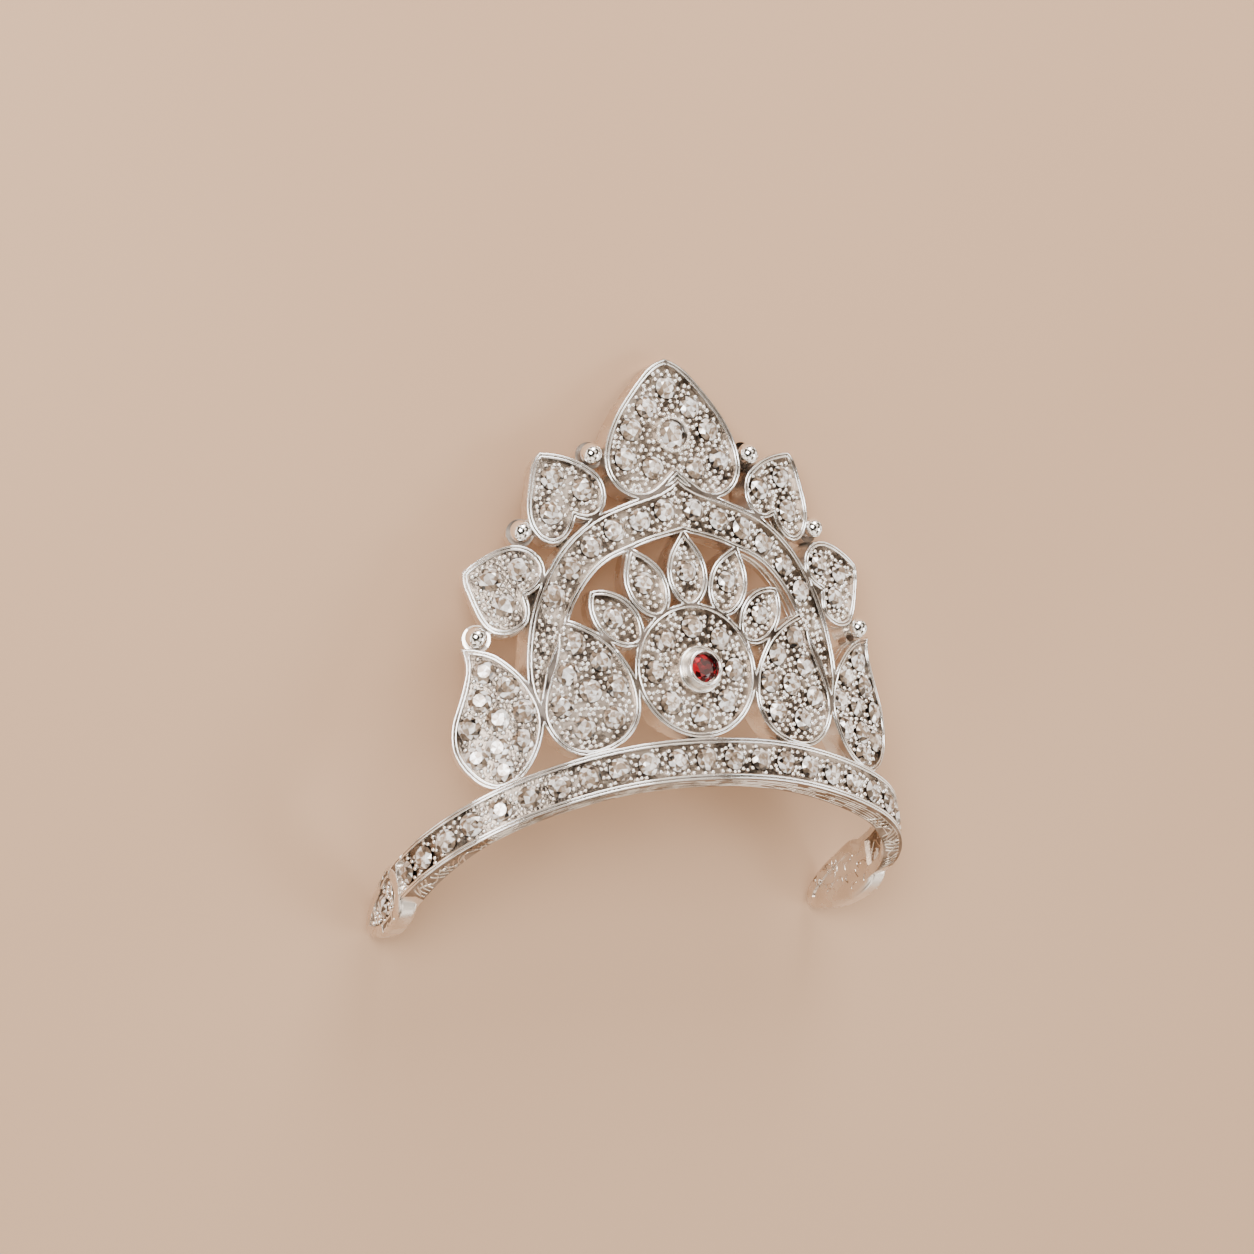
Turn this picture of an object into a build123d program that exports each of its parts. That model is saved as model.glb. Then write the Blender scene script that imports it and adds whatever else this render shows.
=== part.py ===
from build123d import *
import os
from math import atan2, cos, degrees, radians, sin

os.makedirs("parts", exist_ok=True)

# ---- sizes, in millimetres and degrees ----
# The crown is drawn upright, its panel's middle at the origin, front towards -Y, then laid on its back.

# plan of the wall, from the middle of the front to an arm's end
front_radius = 55.5
front_angle = 22.6          # the wide front arc, on each side
turn_radius = 10.3          # the tight turn into the arm
arm_radius = 42.0           # the arm then bends in again gently

# walls and trays
wall_reach = 6.0            # how far the outlines are run through the wall before it is cut to depth
tray_steps = 4              # straight steps of a tray's edge for each arc of its outline
wall_depth = 2.4
rim_width = 0.55
tray_depth = 0.45

# band
band_height = 4.15
band_thick = 2.0
band_proud = 0.2            # how far the band stands in front of the panel
band_lip = 0.45             # how much lower the inner edge of its underside lies
channel_height = band_height - 2 * rim_width
carved_height = 2.7         # the shallow recess inside each arm
carved_depth = 0.3
# distance along the front, middle height of the band
band_stations = [
    # along, height
    (0.0, -8.90),
    (5.0, -9.02),
    (10.0, -9.55),
    (15.0, -10.50),
    (20.0, -11.85),
    (24.0, -13.30),
    (28.0, -15.00),
    (32.0, -16.65),
    (35.5, -17.75),
    (37.0, -18.15),
]
channel_end = 35.0          # along the front, where the arm's channel stops before the foot
carved_from = 23.0
carved_to = 35.2

# centre disc and its tube bezel
disc_radius = 6.8
bezel_radius = 1.85
bezel_wall = 0.35
bezel_rise = 1.6            # how far it stands in front of the rims
collar_radius = 2.35
collar_rise = 0.55

# petals, in a fan about the disc's centre
petal_reach = 10.1
petal_base = 3.8            # from the petal's place down to its round base
petal_side = [(1.35, 2.35), (2.15, 0.7), (2.25, -0.9), (1.6, -2.7)]
# angle of the petal's place, lean of the petal itself from upright, and its tip's distance from the place
petal_fan = [
    # place, lean, tip
    (0.0, 0.0, 4.1),
    (27.8, 21.0, 3.9),
    (55.8, 40.6, 3.5),
]

# beads between the leaves: distance along the front, height
bead_radius = 0.82
bead_seat_radius = 1.4
bead_seat_depth = 1.0       # how far behind the rims the bead's round seat starts
bead_places = [
    # along, height
    (8.95, 22.1),
    (16.85, 14.75),
    (22.3, 4.6),
]

# outlines: points (along the front, height), starting at the tip and going round
top_leaf_half = [
    # along, height
    (1.6, 30.95), (2.9, 29.8), (4.3, 28.2), (5.6, 26.55), (6.7, 24.75), (7.4, 23.0), (7.7, 21.3),
    (7.45, 19.8), (6.5, 18.4), (5.2, 17.6), (3.9, 17.4), (2.5, 17.8), (1.2, 18.75),
]
top_leaf_tip = 31.7
top_leaf_cleft = 19.8
arch_outer_half = [
    # along, height
    (1.3, 18.6), (2.8, 17.95), (4.5, 17.45), (6.7, 16.75), (8.9, 15.9), (10.6, 14.9), (12.0, 13.8),
    (13.2, 12.6), (14.3, 11.2), (15.2, 9.7), (16.1, 7.9), (16.8, 6.0), (17.3, 3.9), (17.65, 1.6),
]
arch_outer_tip = 19.6
arch_inner_half = [
    # along, height
    (1.2, 13.7), (2.8, 13.3), (4.5, 12.8), (6.1, 12.2), (7.7, 11.6), (9.1, 10.8), (10.2, 9.85),
    (11.3, 8.55), (12.1, 7.4), (12.75, 6.1), (13.3, 4.5),
]
arch_inner_tip = 14.0
leg_foot = [(17.2, -2.6), (16.4, -3.6), (15.2, 0.8)]
upper_leaf = dict(
    middle=12.2,
    tip=(14.3, 22.5),
    lobe_one=[(12.2, 22.15), (10.6, 21.55), (9.2, 20.65), (8.25, 19.65), (7.9, 18.6), (7.95, 17.3),
              (8.5, 16.15), (9.4, 15.55), (10.4, 15.45)],
    cleft=(11.25, 15.75),
    lobe_two=[(11.65, 14.8), (12.35, 13.85), (13.2, 13.3), (14.2, 13.3), (15.1, 13.85), (15.8, 14.95),
              (16.1, 16.3), (16.0, 17.8), (15.7, 19.2), (15.35, 20.7), (14.95, 21.8)],
)
lower_leaf = dict(
    middle=19.3,
    tip=(23.0, 11.2),
    lobe_one=[(21.6, 12.15), (20.2, 12.85), (18.7, 13.35), (17.3, 13.4), (16.1, 12.9), (15.2, 12.0),
              (14.85, 10.9), (15.1, 9.8), (15.8, 8.95)],
    cleft=(16.95, 8.3),
    lobe_two=[(16.75, 7.2), (16.85, 6.1), (17.55, 5.2), (18.7, 4.65), (19.9, 4.6), (21.0, 5.05),
              (21.7, 6.0), (22.3, 7.4), (22.75, 8.9), (23.1, 10.3)],
)
inner_paisley = dict(
    middle=11.6,
    tip=(14.95, 5.9),
    round=[(13.3, 5.7), (11.7, 5.05), (10.1, 4.1), (8.85, 3.0), (7.85, 1.6), (7.05, 0.2), (6.65, -1.3),
           (6.5, -2.8), (6.75, -4.3), (7.35, -5.5), (8.4, -6.6), (9.9, -7.45), (11.5, -7.9), (13.1, -7.85),
           (14.6, -7.15), (15.7, -6.05), (16.4, -4.7), (16.6, -3.2), (16.35, -1.7), (15.85, -0.3),
           (15.25, 1.1), (14.75, 2.6), (14.55, 4.1)],
)
outer_paisley = dict(
    middle=20.9,
    tip=(23.9, 3.65),
    round=[(22.0, 3.3), (20.65, 2.75), (19.45, 1.8), (18.3, 0.6), (17.4, -0.8), (16.8, -2.2), (16.5, -3.6),
           (16.65, -5.1), (17.15, -6.6), (17.9, -8.0), (18.9, -9.2), (20.1, -10.1), (21.4, -10.5),
           (22.7, -10.2), (23.8, -9.4), (24.8, -8.2), (25.5, -6.7), (25.65, -5.0), (25.3, -3.3),
           (24.6, -1.6), (24.0, 0.0), (23.65, 1.4), (23.6, 2.6)],
)

# foot pads: outline points (back, height), thickness and lean
foot_outline = [
    # back, height
    (14.4, -19.4), (15.2, -16.8), (17.4, -15.8), (20.0, -16.6), (22.5, -17.6), (24.8, -18.9), (26.3, -20.3),
    (26.4, -21.5), (24.5, -22.3), (21.5, -22.45), (18.5, -22.0), (16.0, -21.2),
]
foot_thick = 2.1
foot_middle = (26.35, 20.0)     # across, back
foot_lean = 7.0
foot_rim = 1.2
foot_recess_depth = 0.4
foot_dimple_depth = 0.2
foot_round = 0.5

# stones: heights are shares of the stone's width
stone_width = 2.3
petal_stone_width = 2.2
foot_stone_width = 2.4
big_stone_width = 3.0
crown_share = 0.155
girdle_share = 0.025
pavilion_share = 0.41
table_share = 0.56
facets = 8
red_facets = 12
back_share = 0.86               # the small stones' flat backs, as a share of their width
stone_gap = 0.06                # clearance between a stone and what carries it
collet_wall = 0.3
collet_rise = 0.25              # how far the big stone's collet stands in front of the rims
ledge_width = 0.25              # the red stone's ledge inside the tube
ledge_rise = 0.8                # the ledge's place in front of the rims
red_stone_width = 2 * (bezel_radius - bezel_wall - stone_gap)

# stone places on the panel: distance along the front, height
top_leaf_stones_at = [
    # along, height
    (0.0, 28.75), (2.45, 26.8), (-2.45, 26.8), (4.4, 24.5), (-4.4, 24.5), (5.3, 21.5), (-5.3, 21.5),
    (2.45, 20.55), (-2.45, 20.55),
]
big_stone_at = (0.0, 23.9)
arch_stones_at = [(1.65, 16.25), (4.5, 15.3), (7.25, 14.4), (9.85, 12.85), (12.2, 10.75), (14.2, 8.1)]
disc_ring_radius = 4.45
disc_ring_count = 8
upper_leaf_stones_at = [(13.2, 19.9), (10.1, 18.6), (13.6, 16.4)]
lower_leaf_stones_at = [(17.4, 11.0), (20.4, 10.2), (19.3, 7.6)]
inner_paisley_stones_at = [
    # along, height
    (12.65, 3.3), (10.1, 1.5), (13.6, 0.3), (8.7, -1.2), (11.5, -1.5), (14.5, -2.8), (9.35, -4.3), (12.5, -5.1),
]
outer_paisley_stones_at = [
    # along, height
    (21.9, 1.2), (19.7, -0.5), (22.6, -1.6), (18.3, -3.0), (21.0, -3.6), (23.9, -4.2), (18.7, -5.9), (21.35, -6.35),
    (20.95, -8.6), (23.45, -7.15),
]
band_stone_pitch = 3.02
band_stone_count = 11           # on each side of the middle one
foot_stone_at = (20.3, -19.5)   # back, height


# ---- places on the wall ----
front_length = front_radius * radians(front_angle)
turn_length = turn_radius * radians(90 - front_angle)
turn_middle = (
    (front_radius - turn_radius) * sin(radians(front_angle)),
    front_radius - (front_radius - turn_radius) * cos(radians(front_angle)),
)
arm_start_across = turn_middle[0] + turn_radius


# heading of the wall at a distance along the front, from the crown's middle
def heading(along):
    way = abs(along)
    if way <= front_length:
        turned = way / front_radius
    elif way <= front_length + turn_length:
        turned = radians(front_angle) + (way - front_length) / turn_radius
    else:
        turned = radians(90) + (way - front_length - turn_length) / arm_radius
    return turned if along >= 0 else -turned


# point of the wall's plan at a distance along it, moved outward
def plan_point(along, outward=0.0):
    turned = heading(abs(along))
    way = abs(along)
    if way <= front_length:
        middle, radius = (0.0, front_radius), front_radius
    elif way <= front_length + turn_length:
        middle, radius = turn_middle, turn_radius
    else:
        middle, radius = (arm_start_across - arm_radius, turn_middle[1]), arm_radius
    across = middle[0] + (radius + outward) * sin(turned)
    back = middle[1] - (radius + outward) * cos(turned)
    return (across if along >= 0 else -across, back)


# plane touching the wall there: x along the wall, y up, z outward
def wall_plane(along, height=0.0, outward=0.0):
    turned = heading(along)
    across, back = plan_point(along, outward)
    return Plane(origin=(across, back, height), x_dir=(cos(turned), sin(turned), 0),
                 z_dir=(sin(turned), -cos(turned), 0))


# the wall's plan edge from its left to its right turn, as three arcs
def plan_edge(outward):
    corner = front_length + turn_length
    for start, end in ((-corner, -front_length), (-front_length, front_length), (front_length, corner)):
        ThreePointArc(*[plan_point(along, outward) for along in (start, (start + end) / 2, end)])
    return corner


# the wall between two distances from its front surface, cut to the panel's height
def wall_layer(outer, inner):
    with BuildPart() as layer:
        with BuildSketch(Plane.XY.offset(-14)) as strip:
            with BuildLine():
                corner = plan_edge(outer)
                plan_edge(inner)
                for along in (-corner, corner):
                    Line(plan_point(along, outer), plan_point(along, inner))
            make_face()
        extrude(amount=14 + top_leaf_tip + 2)
    return layer.part


# ---- outlines: closed loops of smooth runs, each run's points and its number of arcs ----
def run_points(points, steps):
    guide = Spline(*points, mode=Mode.PRIVATE)
    between = [guide @ (n / steps) for n in range(1, steps)]
    return [Vector(*points[0]), *between, Vector(*points[-1])]


def face_of(runs):
    with BuildSketch() as face:
        with BuildLine():
            for points, arcs in runs:
                if arcs == 0:
                    Polyline(*points)
                at = run_points(points, 2 * arcs) if arcs else []
                for n in range(0, 2 * arcs, 2):
                    ThreePointArc(at[n], at[n + 1], at[n + 2])
        make_face()
    return face.sketch


# the same loop drawn again further in, with fine straight steps
def tray_of(runs, rim):
    with BuildSketch() as tray:
        with BuildLine():
            steps = []
            for points, arcs in runs:
                steps += (run_points(points, tray_steps * arcs) if arcs else [Vector(*p) for p in points])[:-1]
            Polyline(*steps, close=True)
        make_face()
        offset(amount=-rim, kind=Kind.INTERSECTION, mode=Mode.REPLACE)
    return tray.sketch


def across(points):
    return [(plan_point(along)[0], height) for along, height in points]


def about(middle, points):
    return [(along - middle, height) for along, height in points]


def mirrored(points):
    return [(-x, y) for x, y in reversed(points)]


top_leaf_side = [(0, top_leaf_tip), *across(top_leaf_half), (0, top_leaf_cleft)]
top_leaf_runs = [(top_leaf_side, 7), (mirrored(top_leaf_side), 7)]

arch_outer = [(0, arch_outer_tip), *across(arch_outer_half), across(leg_foot)[0]]
arch_leg = [*across(leg_foot), across(arch_inner_half)[-1]]
arch_inner = [*reversed(across(arch_inner_half)), (0, arch_inner_tip)]
arch_runs = [(arch_outer, 6), (arch_leg, 0), (arch_inner, 5),
             (mirrored(arch_inner), 5), (mirrored(arch_leg), 0), (mirrored(arch_outer), 6)]


def petal_runs(tip):
    return [([(0, tip), *petal_side, (0, -petal_base), *mirrored(petal_side), (0, tip)], 8)]


def leaf_runs(leaf):
    loop = about(leaf["middle"], [leaf["tip"], *leaf["lobe_one"], leaf["cleft"], *leaf["lobe_two"], leaf["tip"]])
    turn = len(leaf["lobe_one"]) + 1
    return [(loop[:turn + 1], 5), (loop[turn:], 6)]


def paisley_runs(drop):
    return [(about(drop["middle"], [drop["tip"], *drop["round"], drop["tip"]]), 11)]


def petal_plane(place, lean):
    upright = wall_plane(petal_reach * sin(radians(place)), petal_reach * cos(radians(place)))
    turned = radians(lean)
    return Plane(origin=upright.origin, x_dir=upright.x_dir * cos(turned) - upright.y_dir * sin(turned),
                 z_dir=upright.z_dir)


# every walled shape of the middle and the right side
shapes = [
    # plane, outline runs
    (wall_plane(0), top_leaf_runs),
    *[(petal_plane(place, lean), petal_runs(tip)) for place, lean, tip in petal_fan],
    *[(wall_plane(leaf["middle"]), leaf_runs(leaf)) for leaf in (upper_leaf, lower_leaf)],
    *[(wall_plane(drop["middle"]), paisley_runs(drop)) for drop in (inner_paisley, outer_paisley)],
]

# the panel's walled shapes at full depth
with BuildPart() as walls:
    for plane, runs in [(wall_plane(0), arch_runs), *shapes]:
        with BuildSketch(plane):
            add(face_of(runs))
        extrude(amount=wall_reach, both=True)
    with BuildSketch(wall_plane(0)):
        Circle(disc_radius)
    extrude(amount=wall_reach, both=True)
    for along, height in bead_places:
        with BuildSketch(wall_plane(along, height, -bead_seat_depth)):
            Circle(bead_seat_radius)
        extrude(amount=-wall_reach)
    mirror(about=Plane.YZ)
    add(wall_layer(0, -wall_depth), mode=Mode.INTERSECT)

# the recessed trays inside their rims; the arch's tray stops at the paisleys' rims
with BuildPart() as trays:
    with BuildSketch(wall_plane(0)):
        add(tray_of(arch_runs, rim_width))
    extrude(amount=wall_reach, both=True)
    for drop in (inner_paisley, outer_paisley):
        with BuildSketch(wall_plane(drop["middle"])):
            add(face_of(paisley_runs(drop)))
        extrude(amount=wall_reach, both=True, mode=Mode.SUBTRACT)
    for plane, runs in shapes:
        with BuildSketch(plane):
            add(tray_of(runs, rim_width))
        extrude(amount=wall_reach, both=True)
    with BuildSketch(wall_plane(0)):
        Circle(disc_radius - rim_width)
    extrude(amount=wall_reach, both=True)
    mirror(about=Plane.YZ)
    add(wall_layer(1.0, -tray_depth), mode=Mode.INTERSECT)


# ---- band ----
def band_curve(rise=0.0):
    stations = [(-along, height) for along, height in band_stations[:0:-1]] + band_stations
    with BuildLine() as curve:
        Spline(*[(*plan_point(along, band_proud), height + rise) for along, height in stations])
    return curve.line.edge()


band_line = band_curve()


# share of the band's middle line at a distance along the front, and the point there
def band_share(along):
    return 0.5 + along / (2 * band_stations[-1][0])


def band_point(along):
    return band_line.position_at(band_share(along))


# a section swept along the band and kept between two distances; its x runs inward, its y up
def band_sweep(section, start=None, end=None):
    run = band_line % 0
    with BuildPart() as swept:
        with BuildSketch(Plane(origin=band_line @ 0, x_dir=(-run.Y, run.X, 0), z_dir=(run.X, run.Y, 0))):
            Polygon(*section, align=None)
        sweep(path=band_line, binormal=band_curve(rise=10.0))
        for along, way in ((start, 1), (end, -1)):
            if along:
                split(bisect_by=Plane(origin=(0, plan_point(along)[1], 0), z_dir=(0, way, 0)))
    return swept.part


half = band_height / 2
band_section = [(0, half), (band_thick, half), (band_thick, -half - band_lip), (0, -half)]
channel_section = [(-1, channel_height / 2), (tray_depth, channel_height / 2),
                   (tray_depth, -channel_height / 2), (-1, -channel_height / 2)]
carved_section = [(band_thick - carved_depth, carved_height / 2), (band_thick + 1, carved_height / 2),
                  (band_thick + 1, -carved_height / 2), (band_thick - carved_depth, -carved_height / 2)]


# ---- feet ----
def foot_plane(outward=0.0):
    lean = radians(foot_lean)
    return Plane(origin=(foot_middle[0] + outward * cos(lean), foot_middle[1] + outward * sin(lean), 0),
                 x_dir=(-sin(lean), cos(lean), 0), z_dir=(cos(lean), sin(lean), 0))


foot_runs = [(about(foot_middle[1], [*foot_outline, foot_outline[0]]), 10)]

with BuildPart() as foot:
    with BuildSketch(foot_plane()):
        with BuildLine():
            Spline(*about(foot_middle[1], foot_outline), periodic=True)
        make_face()
    extrude(amount=foot_thick / 2, both=True)
    fillet(foot.edges(), foot_round)
    with BuildSketch(foot_plane(foot_thick / 2 - foot_recess_depth)):
        add(tray_of(foot_runs, foot_rim))
    extrude(amount=2, mode=Mode.SUBTRACT)
    with BuildSketch(foot_plane(-foot_thick / 2 + foot_dimple_depth)):
        add(tray_of(foot_runs, foot_rim))
    extrude(amount=-2, mode=Mode.SUBTRACT)

# the tube bezel on the disc, its collar, and the collet of the top leaf's big stone
with BuildPart() as bezel:
    with BuildSketch(Plane.YZ):
        with BuildLine():
            Polyline((wall_depth / 2, 0), (wall_depth / 2, collar_radius), (-collar_rise, collar_radius),
                     (-collar_rise, bezel_radius + 0.1), (-bezel_rise, bezel_radius),
                     (-bezel_rise, bezel_radius - bezel_wall), (-ledge_rise, bezel_radius - bezel_wall),
                     (-ledge_rise, bezel_radius - bezel_wall - ledge_width),
                     (wall_depth / 4, bezel_radius - bezel_wall - ledge_width), (wall_depth / 4, 0),
                     (wall_depth / 2, 0))
        make_face()
    revolve(axis=Axis.Y)

with BuildPart() as collet:
    with BuildSketch(wall_plane(big_stone_at[0], big_stone_at[1], -1)):
        Circle(big_stone_width / 2 + stone_gap + collet_wall)
        Circle(big_stone_width / 2 + stone_gap, mode=Mode.SUBTRACT)
    extrude(amount=1 + collet_rise)

# one bead: a ball on a short stem going back into the wall
with BuildPart() as bead:
    with BuildSketch(Plane.XZ):
        with BuildLine():
            Line((0, -wall_depth + 0.4), (bead_radius, -wall_depth + 0.4))
            Line((bead_radius, -wall_depth + 0.4), (bead_radius, -0.1))
            RadiusArc((bead_radius, -0.1), (0, bead_radius - 0.1), -bead_radius)
            Line((0, bead_radius - 0.1), (0, -wall_depth + 0.4))
        make_face()
    revolve(axis=Axis.Z)

# ---- stone places: planes on the tray floors ----
def on_wall(places, side=1):
    return [wall_plane(side * along, height, -tray_depth) for along, height in places]


def band_plane(along):
    run = band_line.tangent_at(band_share(along))
    level = Vector(run.X, run.Y, 0).normalized()
    outward = Vector(level.Y, -level.X, 0)
    return Plane(origin=band_point(along) - outward * tray_depth, x_dir=level, z_dir=outward)


def foot_stone_plane(side):
    plane = foot_plane(foot_thick / 2 - foot_recess_depth)
    spot = plane.from_local_coords((foot_stone_at[0] - foot_middle[1], foot_stone_at[1], 0))
    return Plane(origin=(side * spot.X, spot.Y, spot.Z), x_dir=(-side * plane.x_dir.X, -plane.x_dir.Y, 0),
                 z_dir=(side * plane.z_dir.X, plane.z_dir.Y, 0))


disc_ring = [
    (disc_ring_radius * sin(radians(360 * n / disc_ring_count)),
     disc_ring_radius * cos(radians(360 * n / disc_ring_count)))
    for n in range(disc_ring_count)
]
petal_places = [petal_plane(side * place, side * lean).offset(-tray_depth)
                for place, lean, _ in petal_fan for side in ((1, -1) if place else (1,))]

stone_fields = [
    # node, planes, stone width
    ("band_stones", [band_plane(band_stone_pitch * n) for n in range(-band_stone_count, band_stone_count + 1)],
     stone_width),
    ("disc_stones", on_wall(disc_ring), stone_width),
    ("petal_stones", petal_places, petal_stone_width),
    ("arch_stones", on_wall(arch_stones_at) + on_wall(arch_stones_at, -1), stone_width),
    ("top_leaf_stones", on_wall(top_leaf_stones_at), stone_width),
    ("upper_leaf_stones_right", on_wall(upper_leaf_stones_at), stone_width),
    ("upper_leaf_stones_left", on_wall(upper_leaf_stones_at, -1), stone_width),
    ("lower_leaf_stones_right", on_wall(lower_leaf_stones_at), stone_width),
    ("lower_leaf_stones_left", on_wall(lower_leaf_stones_at, -1), stone_width),
    ("inner_paisley_stones_right", on_wall(inner_paisley_stones_at), stone_width),
    ("inner_paisley_stones_left", on_wall(inner_paisley_stones_at, -1), stone_width),
    ("outer_paisley_stones_right", on_wall(outer_paisley_stones_at), stone_width),
    ("outer_paisley_stones_left", on_wall(outer_paisley_stones_at, -1), stone_width),
    ("foot_stone_right", [foot_stone_plane(1)], foot_stone_width),
    ("foot_stone_left", [foot_stone_plane(-1)], foot_stone_width),
]
big_stone_plane = wall_plane(*big_stone_at, -tray_depth)


# ---- the soldered silver, upright ----
with BuildPart() as metal:
    add(walls.part)
    add(trays.part, mode=Mode.SUBTRACT, clean=False)
    add(band_sweep(band_section), clean=False)
    add(foot.part, clean=False)
    mirror(foot.part, about=Plane.YZ)
    add(band_sweep(channel_section, end=channel_end), mode=Mode.SUBTRACT, clean=False)
    add(band_sweep(carved_section, carved_from, carved_to), mode=Mode.SUBTRACT, clean=False)
    add([collet.part, bezel.part], clean=False)
    with Locations(*[wall_plane(side * along, height) for along, height in bead_places for side in (1, -1)]):
        add(bead.part, clean=False)

# ---- laid on its back: the top leaf's tip and the two feet touch the surface ----
foot_points = [edge.position_at(n / 20) for edge in foot.edges() for n in range(21)]
rest_tilt = max(degrees(atan2(point.Y - wall_depth, top_leaf_tip - point.Z)) for point in foot_points)
laid_back = Location((0, 0, 0), (-90 - rest_tilt, 0, 0))
box = metal.part.moved(laid_back).bounding_box()
rest = Location((0, -(box.min.Y + box.max.Y) / 2, -box.min.Z)) * laid_back

with BuildPart() as crown_frame:
    with Locations(rest):
        add(metal.part)
crown_frame.part.label = "crown_frame"
export_step(crown_frame.part, "parts/crown_frame.step")


# ---- stones: table, straight crown facets, thin girdle, and a pavilion, pointed or cut off to a flat back ----
def cut_stone(width, count, back=0.0):
    radius = width / 2
    girdle_top = girdle_share * width
    with BuildPart() as stone:
        with BuildSketch() as girdle:
            RegularPolygon(radius, count)
        extrude(amount=girdle_top)
        if back:
            with BuildSketch():
                RegularPolygon(radius, count)
            with BuildSketch(Plane.XY.offset(-(1 - back) * pavilion_share * width)):
                RegularPolygon(radius * back, count)
            loft()
        else:
            loft(sections=[girdle.sketch.face(), Vertex(0, 0, -pavilion_share * width)])
        with BuildSketch(Plane.XY.offset(girdle_top)):
            RegularPolygon(radius, count)
        with BuildSketch(Plane.XY.offset(girdle_top + crown_share * width)):
            RegularPolygon(radius * table_share, count)
        loft()
    return stone.part


# height of a stone's girdle over the edge that carries it
def lift(width, carried_share):
    return (1 - carried_share) * pavilion_share * width + stone_gap


for node, planes, width in stone_fields:
    stone = cut_stone(width, facets, back_share)
    with BuildPart() as field:
        with Locations(*[rest * plane.offset(lift(width, back_share)).location for plane in planes]):
            add(stone)
        if node == "top_leaf_stones":
            with Locations(rest * big_stone_plane.offset(lift(big_stone_width, back_share)).location):
                add(cut_stone(big_stone_width, facets, back_share))
    field.part.label = node
    export_step(field.part, f"parts/{node}.step")

ledge_share = (bezel_radius - bezel_wall - ledge_width) * 2 / red_stone_width
with BuildPart() as red_stone:
    with Locations(rest * wall_plane(0, 0, ledge_rise + lift(red_stone_width, ledge_share)).location):
        add(cut_stone(red_stone_width, red_facets))
red_stone.part.label = "red_stone"
export_step(red_stone.part, "parts/red_stone.step")
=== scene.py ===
from math import atan2, cos, floor, hypot, pi, radians, sin, sqrt
from random import Random

import bmesh
import bpy
import numpy
from mathutils import Matrix, Vector
from mathutils.bvhtree import BVHTree


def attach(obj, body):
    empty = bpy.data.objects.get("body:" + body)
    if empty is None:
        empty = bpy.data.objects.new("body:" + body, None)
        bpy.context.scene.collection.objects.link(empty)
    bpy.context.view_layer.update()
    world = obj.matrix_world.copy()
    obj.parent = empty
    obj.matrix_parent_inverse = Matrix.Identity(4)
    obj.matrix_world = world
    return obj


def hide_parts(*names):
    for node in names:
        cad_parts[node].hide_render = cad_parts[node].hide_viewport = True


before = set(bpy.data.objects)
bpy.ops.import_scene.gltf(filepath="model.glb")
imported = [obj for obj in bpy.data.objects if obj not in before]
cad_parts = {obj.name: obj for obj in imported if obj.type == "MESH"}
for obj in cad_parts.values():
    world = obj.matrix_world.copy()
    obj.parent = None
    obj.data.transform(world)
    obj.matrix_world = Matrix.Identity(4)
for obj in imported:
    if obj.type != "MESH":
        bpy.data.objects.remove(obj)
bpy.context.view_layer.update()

mm = 0.001
weldWithin, sheetWeldWithin = 1e-6, 3e-6  # metres

# The crown lies on its back. In its own upright frame x runs across, y back and z up, in millimetres.
crown = {
    "tipped": -114.6538, "shift": (0, 0.98811, 15.4562),  # from upright to lying
    "frontRadius": 55.5, "frontAngle": 22.6,  # the wide front arc of the wall's plan
    "turnRadius": 10.3, "armRadius": 42.0,
    "trayDepth": 0.45, "bandProud": 0.2, "seatDepth": 1.0,
}
lying = Matrix.Translation(Vector(crown["shift"]) * mm) @ Matrix.Rotation(radians(crown["tipped"]), 4, "X")
lying = lying @ Matrix.Scale(mm, 4)
upright = lying.inverted()


# ---- picking, and making pieces ----
def pickNothing():
    if bpy.context.object and bpy.context.object.mode != "OBJECT":
        bpy.ops.object.mode_set(mode="OBJECT")
    bpy.ops.object.select_all(action="DESELECT")


def pick(piece):
    pickNothing()
    piece.select_set(True)
    bpy.context.view_layer.objects.active = piece
    return piece


def fromLists(name, points, faces, edges=()):
    mesh = bpy.data.meshes.new(name)
    mesh.from_pydata(points, edges, faces)
    mesh.update()
    piece = bpy.data.objects.new(name, mesh)
    bpy.context.scene.collection.objects.link(piece)
    return piece


def finishPiece(piece, material, slot, *nodes):
    piece.data.materials.clear()
    piece.data.materials.append(material)
    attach(piece, "root")
    if nodes:
        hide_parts(*nodes)
    return piece


# ---- shader maths ----
mixFirst, mixSecond, mixResult = 6, 7, 2  # a mix node's colour sockets


def fillRamp(ramp, stops):
    while len(ramp.elements) < len(stops):
        ramp.elements.new(0.5)
    for element, (place, colour) in zip(ramp.elements, stops):
        element.position = place
        element.color = (*colour, 1) if isinstance(colour, tuple) else (colour, colour, colour, 1)


class Wire:  # a node's output, with sums and products written as usual
    def __init__(self, finish, socket):
        self.finish, self.socket = finish, socket

    def maths(self, operation, *terms):
        return self.finish.node("ShaderNodeMath", {"operation": operation}, *terms)

    def __add__(self, other):
        return self.maths("ADD", self, other)

    def __mul__(self, other):
        return self.maths("MULTIPLY", self, other)

    def ramp(self, *stops):
        return self.finish.ramp(self, *stops)


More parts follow.
